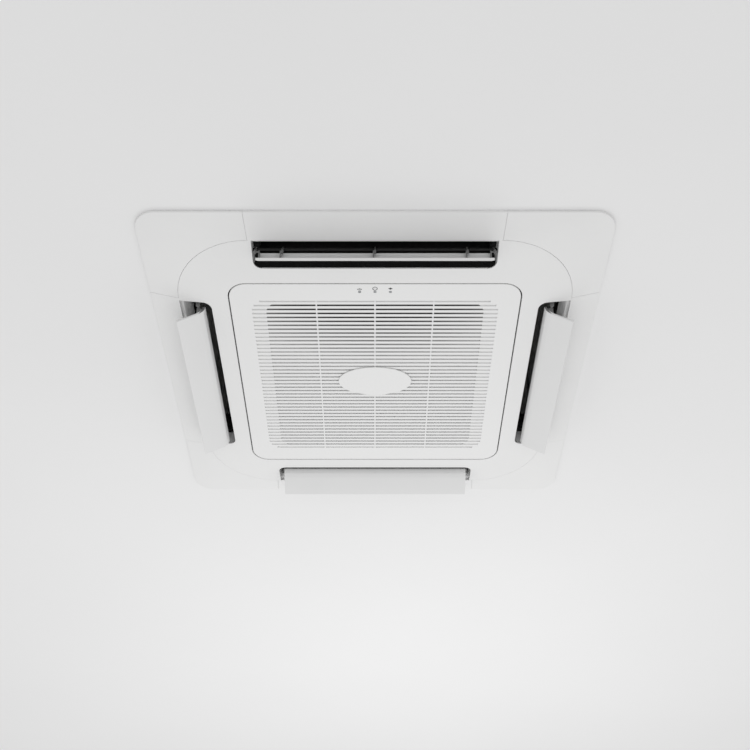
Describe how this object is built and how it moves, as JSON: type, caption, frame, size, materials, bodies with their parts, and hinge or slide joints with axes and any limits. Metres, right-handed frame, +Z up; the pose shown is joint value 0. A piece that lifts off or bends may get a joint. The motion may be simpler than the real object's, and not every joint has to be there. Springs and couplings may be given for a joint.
{
  "type": "ceiling cassette air conditioner",
  "caption": "Square ceiling cassette air conditioner with a slatted intake grille, outlets on every side with swing-out flaps, and a body with fan, coil and drain pump.",
  "frame": {"origin": "centre of the decorative panel, on the plane of the ceiling's underside", "axes": "+Z up into the ceiling; -Y towards the side with the indicator lights; +X to the right seen from below with -Y towards the viewer's feet"},
  "size_m": [0.95, 0.95, 0.317],
  "materials": {
    "panel_white": "satin moulded plastic",
    "flap_white": "satin moulded plastic",
    "fan_plastic": "matt moulded plastic",
    "bellmouth_plastic": "matt moulded plastic",
    "grey_plastic": "matt moulded plastic",
    "black_plastic": "matt moulded plastic",
    "filter_mesh": "woven plastic net",
    "light_module": "smoked plastic",
    "hose_rubber": "matt rubber",
    "foam": "expanded foam beads",
    "galvanised": "galvanised sheet",
    "motor_steel": "plated steel",
    "coil_aluminium": "thin bright fins",
    "copper": "drawn copper tube",
    "brass": "machined brass",
    "circuit_board": "lacquered board"
  },
  "bodies": {
    "body": {"bellmouth": "bellmouth_plastic", "cable_gland": "black_plastic", "casing": "galvanised", "casing_liner": "foam", "coil_end_plate_near": "galvanised", "coil_end_plate_right": "galvanised", "control_board": "circuit_board", "display_module": "light_module", "drain_hose": "hose_rubber", "drain_outlet": "grey_plastic", "drain_pan": "foam", "drain_pump": "black_plastic", "electrical_box": "galvanised", "electrical_box_cover": "galvanised", "fan_motor": "motor_steel", "flap_motor_far": "motor_steel", "flap_motor_left": "motor_steel", "flap_motor_near": "motor_steel", "flap_motor_right": "motor_steel", "float_switch": "grey_plastic", "fresh_air_cover": "galvanised", "gas_flare_nut": "brass", "gas_pipe": "copper", "grille_clip_left": "black_plastic", "grille_clip_right": "black_plastic", "hanging_bracket_far_left": "galvanised", "hanging_bracket_far_right": "galvanised", "hanging_bracket_near_left": "galvanised", "hanging_bracket_near_right": "galvanised", "heat_exchanger": "coil_aluminium", "liquid_flare_nut": "brass", "liquid_pipe": "copper", "panel_frame": "panel_white", "panel_screw_far_left": "motor_steel", "panel_screw_far_right": "motor_steel", "panel_screw_near_left": "motor_steel", "panel_screw_near_right": "motor_steel", "terminal_block": "black_plastic"},
    "grille": {"intake_grille": "panel_white", "badge_plate": "panel_white"},
    "filter": {"filter_frame": "black_plastic", "filter_net": "filter_mesh"},
    "fan": {"fan_wheel": "fan_plastic", "fan_spindle": "motor_steel", "fan_nut": "motor_steel"},
    "float": {"float": "foam"},
    "swing_near": {"swing_shaft_near": "flap_white"},
    "flap_near": {"flap_near": "flap_white"},
    "swing_right": {"swing_shaft_right": "flap_white"},
    "flap_right": {"flap_right": "flap_white"},
    "swing_far": {"swing_shaft_far": "flap_white"},
    "flap_far": {"flap_far": "flap_white"},
    "swing_left": {"swing_shaft_left": "flap_white"},
    "flap_left": {"flap_left": "flap_white"},
    "cover_near_right": {"corner_cover_near_right": "panel_white"},
    "cover_far_right": {"corner_cover_far_right": "panel_white"},
    "cover_far_left": {"corner_cover_far_left": "panel_white"},
    "cover_near_left": {"corner_cover_near_left": "panel_white"}
  },
  "joints": [
    {"name": "swing_near", "type": "hinge", "parent": "body", "child": "swing_near", "pos_m": [0, -0.3778, -0.0038], "axis": [-1, 0, 0], "range_deg": [-107, 0]},
    {"name": "flap_turn_near", "type": "hinge", "parent": "swing_near", "child": "flap_near", "pos_m": [0, -0.38832, -0.02407], "axis": [-1, 0, 0], "range_deg": [-0.74, 160.76]},
    {"name": "swing_right", "type": "hinge", "parent": "body", "child": "swing_right", "pos_m": [0.3778, 0, -0.0038], "axis": [0, -1, 0], "range_deg": [-70, 37]},
    {"name": "flap_turn_right", "type": "hinge", "parent": "swing_right", "child": "flap_right", "pos_m": [0.37401, 0, -0.02632], "axis": [0, -1, 0], "range_deg": [-56, 105.5]},
    {"name": "swing_far", "type": "hinge", "parent": "body", "child": "swing_far", "pos_m": [0, 0.3778, -0.0038], "axis": [1, 0, 0], "range_deg": [-58, 49]},
    {"name": "flap_turn_far", "type": "hinge", "parent": "swing_far", "child": "flap_far", "pos_m": [0, 0.36941, -0.02504], "axis": [1, 0, 0], "range_deg": [-73.92, 87.58]},
    {"name": "swing_left", "type": "hinge", "parent": "body", "child": "swing_left", "pos_m": [-0.3778, 0, -0.0038], "axis": [0, 1, 0], "range_deg": [-70, 37]},
    {"name": "flap_turn_left", "type": "hinge", "parent": "swing_left", "child": "flap_left", "pos_m": [-0.37401, 0, -0.02632], "axis": [0, 1, 0], "range_deg": [-56, 105.5]},
    {"name": "grille_hinge", "type": "hinge", "parent": "body", "child": "grille", "pos_m": [0, 0.297, -0.0276], "axis": [1, 0, 0], "range_deg": [0, 80]},
    {"name": "filter_lift", "type": "slide", "parent": "grille", "child": "filter", "axis": [0, 0, 1], "range_m": [0, 0.025]},
    {"name": "fan_spin", "type": "hinge", "parent": "body", "child": "fan", "pos_m": [0, 0, 0.1], "axis": [0, 0, 1], "continuous": true},
    {"name": "float_rise", "type": "slide", "parent": "body", "child": "float", "axis": [0, 0, 1], "range_m": [0, 0.012]},
    {"name": "cover_near_right", "type": "slide", "parent": "body", "child": "cover_near_right", "axis": [0, 0, -1], "range_m": [0, 0.03]},
    {"name": "cover_far_right", "type": "slide", "parent": "body", "child": "cover_far_right", "axis": [0, 0, -1], "range_m": [0, 0.03]},
    {"name": "cover_far_left", "type": "slide", "parent": "body", "child": "cover_far_left", "axis": [0, 0, -1], "range_m": [0, 0.03]},
    {"name": "cover_near_left", "type": "slide", "parent": "body", "child": "cover_near_left", "axis": [0, 0, -1], "range_m": [0, 0.03]}
  ],
  "couplings": [
    {"joint": "flap_turn_near", "follows": "swing_near", "ratio": -1.4936},
    {"joint": "flap_turn_right", "follows": "swing_right", "ratio": -1.4936},
    {"joint": "flap_turn_far", "follows": "swing_far", "ratio": -1.4936},
    {"joint": "flap_turn_left", "follows": "swing_left", "ratio": -1.4936}
  ]
}
